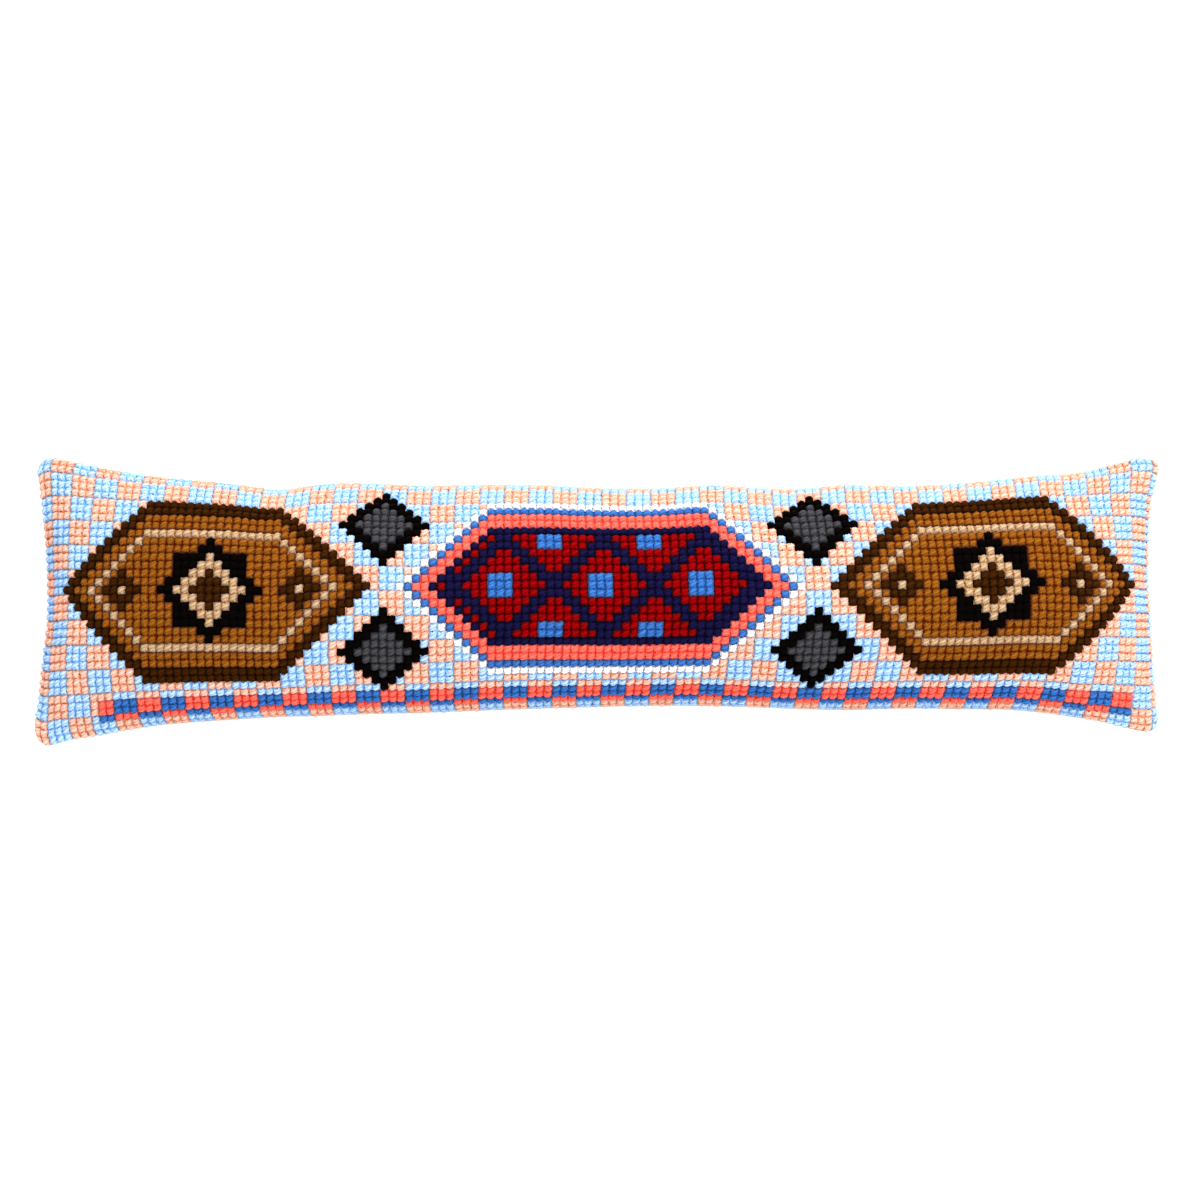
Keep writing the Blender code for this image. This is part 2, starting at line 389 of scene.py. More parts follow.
def blown_up(points, faces, seam):
    """Where the points of a closed cover go when it is blown up as cloth with its seam held."""
    cover = lay_mesh("cover_trial", points, faces.ravel(), np.full(len(faces), 4))
    held = cover.vertex_groups.new(name="seam")
    held.add(seam.tolist(), 1.0, "REPLACE")
    cloth = cover.modifiers.new("cloth", "CLOTH")
    for setting, value in SIM_SETTINGS.items():
        setattr(cloth.settings, setting, value)
    cloth.settings.effector_weights.gravity = 0.0
    cloth.collision_settings.use_collision = False
    cloth.point_cache.frame_start = 1
    cloth.point_cache.frame_end = SIM_FRAMES
    scene = bpy.context.scene
    for step in range(1, SIM_FRAMES + 1):
        scene.frame_set(step)
    shape = cover.evaluated_get(bpy.context.evaluated_depsgraph_get())
    moved = np.empty(len(points) * 3, dtype=np.float32)
    shape.data.vertices.foreach_get("co", moved)
    scene.frame_set(1)
    bpy.data.objects.remove(cover, do_unlink=True)
    return moved.reshape(-1, 3).astype(float)


def filled_offsets(front_a, front_b):
    """How far the filled cloth moves from the plain formula, on the front and on the back.

    One closed net, sharing the seam, is blown up as cloth with the seam held.  Each point's
    move is capped by scaling it as tanh, and falls to nothing on the seam.
    """
    at_s = np.linspace(0, COLUMNS * FINE, SIM_ALONG + 1)
    at_t = np.linspace(0, ROWS * FINE, SIM_ACROSS + 1)
    s, t = np.meshgrid(at_s, at_t, indexing="ij")
    grid = read_net(np.stack([front_a, front_b], axis=-1), s, t)
    a, b = grid[..., 0], grid[..., 1]
    a[0], a[-1], b[:, 0], b[:, -1] = -1, 1, -1, 1
    top = front_point(a, b)
    bottom = back_point(a, b)
    n, m = a.shape
    inner = np.zeros((n, m, 1))
    inner[1:-1, 1:-1] = 1
    lumps = soft_lumps(top, SEED)[..., None] * UNEVEN * inner
    start_top = top + net_normals(top) * (lumps - SIM_START_INSET * inner)
    start_bottom = bottom + net_normals(bottom) * (SIM_START_INSET * inner)
    rim = rim_numbers(n, m)
    number = np.arange(n * m) + n * m
    number[rim] = rim
    inside = np.setdiff1d(np.arange(n * m), rim)
    number[inside] = n * m + np.arange(len(inside))
    below = number[grid_corners(n, m)][:, ::-1]
    faces = np.concatenate([grid_corners(n, m), below])
    points = np.concatenate([start_top.reshape(-1, 3), start_bottom.reshape(-1, 3)[inside]])
    moved = blown_up(points, faces, rim)
    above = moved[:n * m].reshape(n, m, 3) - top
    under = np.zeros((n * m, 3))
    under[inside] = moved[n * m:] - bottom.reshape(-1, 3)[inside]
    return capped(above), capped(under.reshape(n, m, 3))


def capped(move):
    """The same moves with their length bent over as tanh, so that none passes the cap."""
    length = np.linalg.norm(move, axis=-1, keepdims=True)
    return move * np.tanh(length / MOVE_CAP) * MOVE_CAP / np.maximum(length, 1e-9)


def cushion_nets():
    """The fine nets of the stitched face and of the back, with the filled cloth's moves added."""
    a, b = even_net(front_point, COLUMNS * FINE, ROWS * FINE)
    front = front_point(a, b)
    back = back_point(a, b)
    above, under = filled_offsets(a, b)
    s, t = np.meshgrid(np.arange(a.shape[0]), np.arange(a.shape[1]), indexing="ij")
    s = s * (SIM_ALONG / (COLUMNS * FINE))
    t = t * (SIM_ACROSS / (ROWS * FINE))
    front = front + read_smooth_net(above, s, t)
    back = back + read_smooth_net(under, s, t)
    back[..., 2] = np.maximum(back[..., 2], 0.0)
    return front, back


def read_smooth_net(net, s, t):
    """A coarse net's values on a finer one: softened, then weighed from the four nearest."""
    for _ in range(SOFTEN_ROUNDS):
        net = soften(net)
    return read_net(net, s, t)


def soften(net):
    """Each inner value becomes half itself and half the mean of its four neighbours."""
    out = net.copy()
    around = net[:-2, 1:-1] + net[2:, 1:-1] + net[1:-1, :-2] + net[1:-1, 2:]
    out[1:-1, 1:-1] = net[1:-1, 1:-1] / 2 + around / 8
    return out


# ---------------- the chart of colours
YARNS = (
    "light_blue", "peach", "brown", "tan", "dark_brown", "near_black", "charcoal",
    "red", "navy", "coral", "mid_blue", "white")
CHECK = 3                       # the ground's checks are three crosses square
CHECK_CUT = 1                   # and the first of them is this much narrower
BAND_ROWS = (2, 4)              # the strong coloured band near the lower edge, first and last row
BAND_COLUMNS = (9, 136)         # and its first and last column
MIDDLE_ROW = 18
LATTICE = 12                    # crosses from one line of the lattice to the next, along a row
# Stepped medallions: middle column, half length, half height, and their filling
MEDALLIONS = ((23, 19, 11, "plain"), (70, 24, 11, "latticed"), (117, 19, 11, "plain"))
# Small diamonds between them: column, rows above the middle row, half size
DIAMONDS = ((44, 8, 5), (44, -8, 5), (96, 8, 5), (96, -8, 5))
DIAMOND_EDGE = 2                # width of a small diamond's black edge
# A plain medallion: its edge and its ring, as depths inside its sides, its star's layers, as half
# size and yarn, and the place and half size of the diamond at each side of the star
EDGE_DEPTH = 1
RING_DEPTH = 4
STAR_LAYERS = ((6, "near_black"), (4, "tan"), (2, "dark_brown"))
SIDE_PLACE = 11
SIDE_SIZE = 2
# A latticed medallion: width of the lattice's lines, half size of the diamond in each mesh, and its
# rings, as depth inside its sides and yarn
LINE_WIDTH = 2
MESH_SIZE = 2
LATTICE_RINGS = ((4, "navy"), (3, "coral"), (2, "coral"), (1, "mid_blue"), (0, "white"))


def colour_chart():
    """Number of the yarn of each cross.

    The ground is a check of two colours.  A band of stronger ones crosses it near the lower
    edge.  A medallion holds the crosses whose inset from its stepped sides is at least 0, and
    its rings follow that inset.  A star is a square and a diamond laid over each other.
    """
    number = {name: n for n, name in enumerate(YARNS)}
    i, j = np.meshgrid(np.arange(COLUMNS), np.arange(ROWS), indexing="ij")
    odd = ((i + CHECK_CUT) // CHECK + j // CHECK) % 2 == 1
    chart = np.where(odd, number["light_blue"], number["peach"])
    strong = np.where(odd, number["mid_blue"], number["coral"])
    in_rows = (j >= BAND_ROWS[0]) & (j <= BAND_ROWS[1])
    in_columns = (i >= BAND_COLUMNS[0]) & (i <= BAND_COLUMNS[1])
    chart = np.where(in_rows & in_columns, strong, chart)
    up = np.abs(j - MIDDLE_ROW)
    for middle, half_length, half_height, filling in MEDALLIONS:
        out = np.abs(i - middle)
        inset = np.minimum(half_height - up, half_length - up - out)
        if filling == "plain":
            shape = plain_medallion(number, out, up, inset)
        else:
            shape = latticed_medallion(number, i - middle, j - MIDDLE_ROW, inset)
        chart = np.where(inset >= 0, shape, chart)
    for column, above, half_size in DIAMONDS:
        inset = half_size - np.abs(i - column) - np.abs(j - MIDDLE_ROW - above)
        shape = np.where(inset >= DIAMOND_EDGE, number["charcoal"], number["near_black"])
        chart = np.where(inset >= 0, shape, chart)
    return chart


def plain_medallion(number, out, up, inset):
    """Brown, with a dark edge, a tan ring, a star in the middle and a diamond at each side."""
    shape = np.full(inset.shape, number["brown"])
    shape = np.where(inset <= EDGE_DEPTH, number["dark_brown"], shape)
    shape = np.where(inset == RING_DEPTH, number["tan"], shape)
    for half_size, yarn in STAR_LAYERS:
        star = (out + up <= half_size) | (np.maximum(out, up) <= half_size * 2 // 3)
        shape = np.where(star & (inset > RING_DEPTH), number[yarn], shape)
    side = np.abs(out - SIDE_PLACE) + up
    shape = np.where(side <= SIDE_SIZE, number["dark_brown"], shape)
    return np.where(side == 0, number["tan"], shape)


def latticed_medallion(number, across, up, inset):
    """Red with a navy lattice and a small diamond in each of its meshes, ringed and edged."""
    rising = (across + up + LATTICE // 2) % LATTICE
    falling = (across - up + LATTICE // 2) % LATTICE
    middle = np.abs(rising - LATTICE // 2) + np.abs(falling - LATTICE // 2)
    lines = (rising < LINE_WIDTH) | (falling < LINE_WIDTH)
    shape = np.where(lines, number["navy"], number["red"])
    shape = np.where(middle <= MESH_SIZE, number["mid_blue"], shape)
    for depth, yarn in LATTICE_RINGS:
        shape = np.where(inset == depth, number[yarn], shape)
    return shape


# ---------------- the wool crosses
# One strand of a cross, as sections from its one end to the other: place along it, height
# above its lowest point and width against its full width
UPPER_SECTIONS = (
    (0.02, 0.00, 0.60), (0.15, 0.64, 0.90), (0.37, 0.97, 1.00),
    (0.63, 0.97, 1.00), (0.85, 0.64, 0.90), (0.98, 0.00, 0.60))
LOWER_SECTIONS = (
    (0.02, 0.00, 0.62), (0.19, 0.84, 0.95), (0.50, 1.00, 1.00),
    (0.81, 0.84, 0.95), (0.98, 0.00, 0.62))
TIP_REACH = 0.05                # how far a strand's closed tip goes past its last section
TIP_HEIGHT = -0.25              # and how high it is
STRAND_START = 0.07             # a strand starts this far inside the cell's corner
ENDS_DRAWN = 0.042              # spread of the places of its ends, in cells
THICKNESS_DRAWN = 0.07          # spread of its thickness, against its own
LIFT_DRAWN = 0.13 * MM          # spread of its height
BOW_DRAWN = 0.03                # spread of its bow to one side, in cells
HALF_WIDTH = 0.320              # half the strand's width, in cells
HALF_DEPTH = 1.20 * MM          # half the strand's depth
FLATNESS = 0.85                 # power of its section's sine and cosine: under 1 it is squarer
TALL = 1.04                     # height of a cross against its cell, and its width
NARROW = 0.95
UPPER_REST = -0.95 * MM         # middle of the upper strand, under the face, at its height
LOWER_REST = -1.45 * MM         # and of the lower one
DIP = 1.6 * MM                  # how deep both go into the holes
SHADED_FROM = 0.45 * MM         # painted shade darkens the wool's colour from here under the face
SHADED_TO = 2.20 * MM           # down to here
STEEP_GAP = 0.28                # how much shorter a cross is where the cloth turns down to a seam
STEEP_SPREAD = 0.08             # how much wider
STEEP_DIP = 0.5                 # how much deeper its strands dip
STEEP_SHADE = 0.9               # how much darker, as painted shade, its upper and lower sides are,
STEEP_POWER = 4                 # which set in as this power of the distance from its middle
STEEP_BORDER = 0.8              # and how much fainter its shadow beside another colour
PLIES = 4.0                     # plies round a strand
TURN_LENGTH = 1.1               # plies passed along one strand, by their twist
BORDER_WIDTH = 0.20             # width of the shadow beside another colour, in cells
TONE_MEAN = 0.5                 # each cross's own tone, and its spread
TONE_DRAWN = 0.16
BAKE_START = 0.04               # the part of its square in the bake map that a strand runs along
BAKE_LENGTH = 0.92
# The two strands of a cross, the lower one first: its sections and the sides of each, whether its
# line falls, the height of its middle, and its part of the square across, as start and width
STRANDS = (
    (LOWER_SECTIONS, 6, True, LOWER_REST, (0.60, 0.36)),
    (UPPER_SECTIONS, 8, False, UPPER_REST, (0.04, 0.52)),
)


def strand_template(sections, sides):
    """One strand about its own line: rings of points along it and a closed tip at each end.

    Gives along, height, width and angle for each point, then the faces' corners and sizes, and
    each corner's turn round the strand.
    """
    table = np.array(sections)
    rings = len(table)
    tips = [[-TIP_REACH, TIP_HEIGHT, 0.0], [1 + TIP_REACH, TIP_HEIGHT, 0.0]]
    along, height, width = np.concatenate([np.repeat(table, sides, axis=0), tips]).T
    turn = np.arange(sides) / sides
    angle = np.concatenate([np.tile(turn * 2 * np.pi, rings), [0.0, 0.0]])
    r, k = np.meshgrid(np.arange(rings - 1), np.arange(sides), indexing="ij")
    low, after = r * sides, (k + 1) % sides
    quads = np.stack([low + k, low + sides + k, low + sides + after, low + after], axis=-1)
    quad_turn = np.stack([k, k, k + 1, k + 1], axis=-1)
    k = np.arange(sides)
    after = (k + 1) % sides
    first = np.full(sides, rings * sides)
    end = (rings - 1) * sides
    near = np.stack([first, k, after], axis=-1)
    far = np.stack([first + 1, end + after, end + k], axis=-1)
    near_turn = np.stack([k + 0.5, k, k + 1], axis=-1)
    far_turn = np.stack([k + 0.5, k + 1, k], axis=-1)
    corners = np.concatenate([quads.ravel(), near.ravel(), far.ravel()])
    sizes = np.repeat([4, 3], [quads.size // 4, 2 * sides])
    turns = np.concatenate([quad_turn.ravel(), near_turn.ravel(), far_turn.ravel()]) / sides
    return (along, height, width, angle), (corners, sizes, turns)


def squarer(part):
    """A sine or cosine to a power under 1, with its sign kept."""
    return np.sign(part) * np.abs(part) ** FLATNESS


def colour_borders(chart):
    """Whether the next cross is another colour: to the left, right, below and above each."""
    ringed = np.pad(chart, 1, mode="edge")
    beside = (ringed[:-2, 1:-1], ringed[2:, 1:-1], ringed[1:-1, :-2], ringed[1:-1, 2:])
    return np.stack([near != chart for near in beside]).astype(float)


def lay_strands(shape, falls, rest, face, normal, column, row, differs, draw):
    """One strand over each of the given cells, as points on the net.

    The strand's line rises from corner to corner of its cell, or falls, turned a quarter round.
    Its section is an ellipse across that line and up from the canvas.  Where the cloth turns
    down to a seam, the cross is shorter and wider, dips deeper and has painted shade above and
    below.
    Two values go with each point: its nearness to the crest, which keeps it out of the gap's
    painted shade, and its nearness to a side of the cell where another colour begins, for a painted
    shadow.
    """
    along, height, width, angle = shape
    count = len(column)
    shift = draw.normal(0, ENDS_DRAWN, (count, 4, 1))
    thick = draw.normal(1, THICKNESS_DRAWN, (count, 1))
    lift = draw.normal(0, LIFT_DRAWN, (count, 1))
    bow = draw.normal(0, BOW_DRAWN, (count, 1)) * np.sin(np.pi * np.clip(along, 0, 1))
    reach = STRAND_START + (1 - 2 * STRAND_START) * along
    u = reach + shift[:, 0] * (1 - along) + shift[:, 1] * along
    v = reach + shift[:, 2] * (1 - along) + shift[:, 3] * along
    across = HALF_WIDTH * width * squarer(np.cos(angle)) * thick + bow
    u = u + across / 2 ** 0.5
    v = v - across / 2 ** 0.5
    if falls:
        u, v = v, 1 - u
    facing = read_net(normal, (column[:, None] + 0.5) * FINE, (row[:, None] + 0.5) * FINE)[..., 2]
    steep = 1 - np.clip(facing, 0, 1)
    u = 0.5 + (NARROW + STEEP_SPREAD * steep) * (u - 0.5)
    v = 0.5 + (TALL - STEEP_GAP * steep) * (v - 0.5)
    dip = DIP * (1 + STEEP_DIP * steep)
    up = rest + lift + dip * (height - 1) + HALF_DEPTH * width * squarer(np.sin(angle)) * thick
    s = np.clip(column[:, None] + u, 0, COLUMNS) * FINE
    t = np.clip(row[:, None] + v, 0, ROWS) * FINE
    # painted shade: the colour darkens from the crest down into the gap, and on a cross's upper and
    # lower sides where the cloth turns down
    crest_light = (up + SHADED_TO) / (SHADED_TO - SHADED_FROM)
    crest_light = np.clip(crest_light - STEEP_SHADE * steep * (2 * v - 1) ** STEEP_POWER, 0, 1)
    # painted shadow along a side of the cell where another colour begins, fainter where the cloth
    # turns down
    ramps = np.clip((np.stack([-u, u - 1, -v, v - 1]) + BORDER_WIDTH) / BORDER_WIDTH, 0, 1)
    border_shadow = (ramps * differs[:, :, None]).max(axis=0) * (1 - STEEP_BORDER * steep)
    return read_net(face, s, t) + up[..., None] * read_net(normal, s, t), crest_light, border_shadow


def strand_maps(along, turns, part, count, draw):
    """Two maps for the strands: one along and round each, one with a place apart for each.

    The second has a square for each cross, its upper strand in one part and its lower in the
    other, so that no two strands share any of it.
    """
    twist = draw.uniform(0, 1, (count, 1))
    strand = np.stack([np.broadcast_to(along, (count, len(along))), turns + twist], axis=-1)
    side = math.ceil(math.sqrt(count))
    cell = np.arange(count)[:, None]
    run = (along - along.min()) / (along.max() - along.min())
    start, width = part
    spread_u = (cell % side + BAKE_START + BAKE_LENGTH * run) / side
    spread_v = (cell // side + start + width * turns) / side
    return strand.reshape(-1, 2), np.stack([spread_u, spread_v], axis=-1).reshape(-1, 2)


def wool_piece(yarn, column, row, face, normal, differs, material):
    """Every cross of one yarn: its lower strands first, then the upper ones over them."""
    draw = np.random.default_rng(SEED + YARNS.index(yarn))
    count = len(column)
    tone = draw.normal(TONE_MEAN, TONE_DRAWN, count)
    passed = 0
    made = []
    for sections, sides, falls, rest, part in STRANDS:
        shape, (corners, sizes, turns) = strand_template(sections, sides)
        each = len(shape[0])
        points, crest_light, border_shadow = lay_strands(
            shape, falls, rest, face, normal, column, row, differs, draw)
        strand, spread = strand_maps(shape[0][corners], turns, part, count, draw)
        numbered = corners + np.arange(count)[:, None] * each + passed
        made.append((
            points.reshape(-1, 3), numbered.ravel(), np.tile(sizes, count), strand, spread,
            np.repeat(tone, each), crest_light.ravel(), border_shadow.ravel()))
        passed += count * each
    points, corners, sizes, strand, spread, *looks = (np.concatenate(kind) for kind in zip(*made))
    piece = lay_mesh("wool_" + yarn, points, corners, sizes, {"strand": strand, "OFBake": spread})
    for title, values in zip(("tone", "crest_light", "border_shadow"), looks):
        layer = piece.data.attributes.new(title, "FLOAT", "POINT")
        layer.data.foreach_set("value", values.astype(np.float32))
    piece.data.materials.append(material)
    return piece


# ---------------- materials
# Colour of each yarn in linear light: its dye on top of a cross, and its painted shade down in the
# gap beside it
DYES_AND_GAP_SHADES = {
    "light_blue": ((0.250, 0.366, 0.59), (0.150, 0.335, 0.60)),
    "peach": ((0.57, 0.288, 0.222), (0.55, 0.200, 0.102)),
    "brown": ((0.151, 0.0465, 0.0038), (0.064, 0.0055, 0.0001)),
    "tan": ((0.292, 0.190, 0.106), (0.27, 0.118, 0.038)),
    "dark_brown": ((0.0225, 0.0060, 0.0004), (0.0085, 0.0014, 0.0001)),
    "near_black": ((0.0010, 0.0005, 0.0004), (0.0002, 0.0001, 0.0001)),
    "charcoal": ((0.030, 0.030, 0.034), (0.010, 0.010, 0.012)),
    "red": ((0.150, 0.0001, 0.0006), (0.030, 0.0, 0.0001)),
    "navy": ((0.0038, 0.0030, 0.024), (0.0010, 0.0005, 0.007)),
    "coral": ((0.72, 0.084, 0.058), (0.55, 0.038, 0.025)),
    "mid_blue": ((0.021, 0.088, 0.285), (0.012, 0.058, 0.21)),
    "white": ((0.62, 0.61, 0.61), (0.40, 0.40, 0.45)),
}
LUMINANCE = (0.2126, 0.7152, 0.0722)
BORDER_GREY = 0.6               # how grey the thin shadow between two colours is
BORDER_DEPTH = 0.9              # and its lightness against the gap's colour
COTTON = (0.50, 0.455, 0.375)   # the cotton's own colour
PLY_POWER = 0.6                 # power of a ply's sine: under 1 it is fuller
FIBRE_STRETCH = (9.0, 70.0, 1.0)   # fine fibres in a strand, along it and round it
FUZZ_SCALE = 900.0              # lumps of fuzz in a metre
WOOL_DETAIL = 2.0
# Two things mixed, and the part of each
FIBRE_MIX = (0.6, 0.4)          # fine fibres and fuzz
WOOL_RELIEF = (0.7, 0.5)        # plies and fibres, in the relief
WOOL_SHADE = (0.78, 0.95)       # plies, as painted shade in their valleys, and fibres, in the shade
WEAVE_RELIEF = (0.8, 0.2)       # both threads at a crossing, and the one that lies over
WEAVE_SHADE = (0.20, 0.25)      # threads, as painted shade between them, and slubs
TONE_SHARE = 0.22               # how much a cross's own tone counts in its shade
TONE_BASE = 0.10                # and what is taken off for it
THREADS = 1200.0                # threads in a metre of the cotton
SLUB_SCALE = 60.0
SLUB_DETAIL = 4.0
COTTON_LIGHT = 0.72             # the cotton's shade before its threads and slubs are added
WOOL_SPECULAR = 0.01
CANVAS_ROUGHNESS = 0.95
CANVAS_SPECULAR = 0.03
WOOL_FINISH = {
    "roughness": 0.72, "varies": 0.2, "strength": 0.8, "depth": 0.40 * MM,
    "sheen": 0.25, "sheen_roughness": 0.35}
COTTON_FINISH = {
    "roughness": 0.78, "varies": 0.15, "strength": 0.6, "depth": 0.25 * MM,
    "sheen": 0.15, "sheen_roughness": 0.5}


def feed(tree, node, inputs):
    """Give a node's inputs their values: another node's output, a colour, a vector or a number."""
    for title, value in inputs.items():
        socket = node.inputs[title]
        if isinstance(value, bpy.types.NodeSocket):
            tree.links.new(value, socket)
        else:
            socket.default_value = (*value, 1.0) if socket.type == "RGBA" else value


def new_node(tree, kind, inputs, **settings):
    """A node of that kind, with its settings and its inputs.  Gives its output sockets."""
    node = tree.nodes.new("ShaderNode" + kind)
    for setting, value in settings.items():
        setattr(node, setting, value)
    feed(tree, node, inputs)
    return node.outputs


def calculate(tree, operation, *inputs):
    """A Math node; each input is a number or a socket."""
    return new_node(tree, "Math", dict(enumerate(inputs)), operation=operation)[0]


def weighed(tree, first, second, parts):
    """The sum of two values, each times its own part."""
    first = calculate(tree, "MULTIPLY", first, parts[0])
    return calculate(tree, "ADD", first, calculate(tree, "MULTIPLY", second, parts[1]))


def noise(tree, place, scale, detail):
    """Soft noise, with that many lumps in a unit of 'place'."""
    return new_node(tree, "TexNoise", {"Vector": place, "Scale": scale, "Detail": detail})[0]


def blended(tree, kind, first, second, factor):
    """Two colours blended in that way, by a factor."""
    inputs = {"A": first, "B": second, "Factor": factor}
    return new_node(tree, "Mix", inputs, data_type="RGBA", blend_type=kind)["Result"]


def attribute(tree, name, output="Fac"):
    """One of the piece's own attributes."""
    return new_node(tree, "Attribute", {}, attribute_name=name)[output]


def new_group(name, own_map, numbers, outputs):
    """An empty shader group fed with a piece's own map, its Place and numbers given by name."""
    tree = bpy.data.node_groups.new(name, "ShaderNodeTree")
    for title in (own_map, "Place"):
        tree.interface.new_socket(title, in_out="INPUT", socket_type="NodeSocketVector")
    for title, value in numbers.items():
        socket = tree.interface.new_socket(title, in_out="INPUT", socket_type="NodeSocketFloat")
        socket.default_value = value
    for title in outputs:
        tree.interface.new_socket(title, in_out="OUTPUT", socket_type="NodeSocketFloat")
    return tree, tree.nodes.new("NodeGroupInput"), tree.nodes.new("NodeGroupOutput")


def plied_wool_group():
    """Plied wool.  A ply is a sine's size to a power; so many go round a strand, and they twist.

    Relief is the plies with fine fibres over them; Shade is painted shade in the valleys between
    plies, with the fibres' own grain.
    """
    tree, given, out = new_group(
        "plied_wool", "Strand", {"Plies": PLIES, "Turns": TURN_LENGTH},
        ("Relief", "Shade", "Fibre"))
    along, rounds, _ = new_node(tree, "SeparateXYZ", {0: given.outputs["Strand"]})
    along = calculate(tree, "MULTIPLY", along, given.outputs["Turns"])
    rounds = calculate(tree, "MULTIPLY", rounds, given.outputs["Plies"])
    phase = calculate(tree, "MULTIPLY", calculate(tree, "ADD", along, rounds), math.pi)
    ply = calculate(tree, "ABSOLUTE", calculate(tree, "SINE", phase))
    ply = calculate(tree, "POWER", ply, PLY_POWER)
    stretched = {"Vector": given.outputs["Strand"], "Scale": FIBRE_STRETCH}
    hairs = noise(tree, new_node(tree, "Mapping", stretched)[0], 1.0, WOOL_DETAIL)
    fuzz = noise(tree, given.outputs["Place"], FUZZ_SCALE, WOOL_DETAIL)
    fibre = weighed(tree, hairs, fuzz, FIBRE_MIX)
    relief = weighed(tree, ply, fibre, WOOL_RELIEF)
    # painted shade in the valleys between plies, with the fibres' own grain
    shade = weighed(tree, ply, fibre, WOOL_SHADE)
    feed(tree, out, {"Relief": relief, "Shade": shade, "Fibre": fibre})
    return tree


def plain_weave_group():
    """Plain weave: warp and weft threads, each the size of a sine, over one another by turns.
    Shade is painted shade between the threads, with the slubs' own tone.
    """
    tree, given, out = new_group(
        "plain_weave", "Cloth", {"Threads": THREADS}, ("Relief", "Shade", "Slub"))
    warp, weft, _ = new_node(tree, "SeparateXYZ", {0: given.outputs["Cloth"]})
    warp = calculate(tree, "MULTIPLY", warp, given.outputs["Threads"])
    weft = calculate(tree, "MULTIPLY", weft, given.outputs["Threads"])
    warp = calculate(tree, "SINE", calculate(tree, "MULTIPLY", warp, math.pi))
    weft = calculate(tree, "SINE", calculate(tree, "MULTIPLY", weft, math.pi))
    crossing = calculate(tree, "MULTIPLY", warp, weft)
    relief = weighed(tree, calculate(tree, "ABSOLUTE", crossing), crossing, WEAVE_RELIEF)
    slub = noise(tree, given.outputs["Place"], SLUB_SCALE, SLUB_DETAIL)
    # painted shade between the threads, with the slubs' own tone
    shade = weighed(tree, relief, slub, WEAVE_SHADE)
    feed(tree, out, {"Relief": relief, "Shade": shade, "Slub": slub})
    return tree


def new_material(name):
    """A new material, with its node tree and its shader."""
    material = bpy.data.materials.new(name)
    material.use_nodes = True
    return material, material.node_tree, material.node_tree.nodes["Principled BSDF"]


def place_group(tree, group, own_map):
    """A group in a material, fed with the piece's own map and its Object coordinates."""
    cloth = new_node(tree, "UVMap", {}, uv_map=own_map)[0]
    place = new_node(tree, "TexCoord", {})["Object"]
    return new_node(tree, "Group", {0: cloth, "Place": place}, node_tree=group)


def finish_cloth(tree, shader, relief, uneven, finish):
    """Its roughness, which varies with the fine unevenness, its relief as a bump, and its sheen."""
    rough = calculate(tree, "MULTIPLY", uneven, finish["varies"])
    rough = calculate(tree, "ADD", rough, finish["roughness"])
    bump = {"Height": relief, "Strength": finish["strength"], "Distance": finish["depth"]}
    feed(tree, shader, {
        "Roughness": rough, "Normal": new_node(tree, "Bump", bump)[0],
        "Sheen Weight": finish["sheen"], "Sheen Roughness": finish["sheen_roughness"]})


def border_colour(yarn):
    """The thin shadow where two colours meet: the gap's colour, darker and mixed with its grey."""
    gap_shade = np.array(DYES_AND_GAP_SHADES[yarn][1])
    grey = float(gap_shade @ np.array(LUMINANCE))
    return tuple(BORDER_DEPTH * ((1 - BORDER_GREY) * gap_shade + BORDER_GREY * grey))


def wool_material(yarn, group):
    """Dyed wool: the plies, each cross a little lighter or darker, painted shade down in its gaps
    and a painted shadow where two colours meet, with a soft bloom of hairs.
    """
    material, tree, shader = new_material("wool_" + yarn)
    plies = place_group(tree, group, "strand")
    tone = calculate(tree, "MULTIPLY", attribute(tree, "tone"), TONE_SHARE)
    amount = calculate(tree, "ADD", plies["Shade"], tone)
    amount = calculate(tree, "SUBTRACT", amount, TONE_BASE)
    top, gap_shade = DYES_AND_GAP_SHADES[yarn]
    crest_light, border_shadow = attribute(tree, "crest_light"), attribute(tree, "border_shadow")
    # painted shade from the crest down into the gap, then a painted shadow where two colours meet,
    # then the plies' painted shade and the cross's own tone
    colour = blended(tree, "MIX", gap_shade, top, crest_light)
    colour = blended(tree, "MIX", colour, border_colour(yarn), border_shadow)
    colour = blended(tree, "MULTIPLY", colour, amount, 1.0)
    finish_cloth(tree, shader, plies["Relief"], plies["Fibre"], WOOL_FINISH)
    feed(tree, shader, {
        "Base Color": colour, "Sheen Tint": np.sqrt(top), "Specular IOR Level": WOOL_SPECULAR})
    return material


def canvas_material():
    """Printed canvas: each cell has its yarn's gap colour, the print darkened as painted shade,
    kept as the sheet's attribute.
    """
    material, tree, shader = new_material("printed_canvas_in_shade")
    feed(tree, shader, {
        "Base Color": attribute(tree, "print_and_shade", "Color"), "Roughness": CANVAS_ROUGHNESS,
        "Specular IOR Level": CANVAS_SPECULAR})
    return material


def cotton_material(group):
    """Unbleached cotton in plain weave, with painted shade between its threads, and slubs that vary
    its tone and its roughness.
    """
    material, tree, shader = new_material("back_cotton")
    weave = place_group(tree, group, "cloth")
    amount = calculate(tree, "ADD", weave["Shade"], COTTON_LIGHT)
    feed(tree, shader, {"Base Color": blended(tree, "MULTIPLY", COTTON, amount, 1.0)})
    finish_cloth(tree, shader, weave["Relief"], weave["Slub"], COTTON_FINISH)
    return material


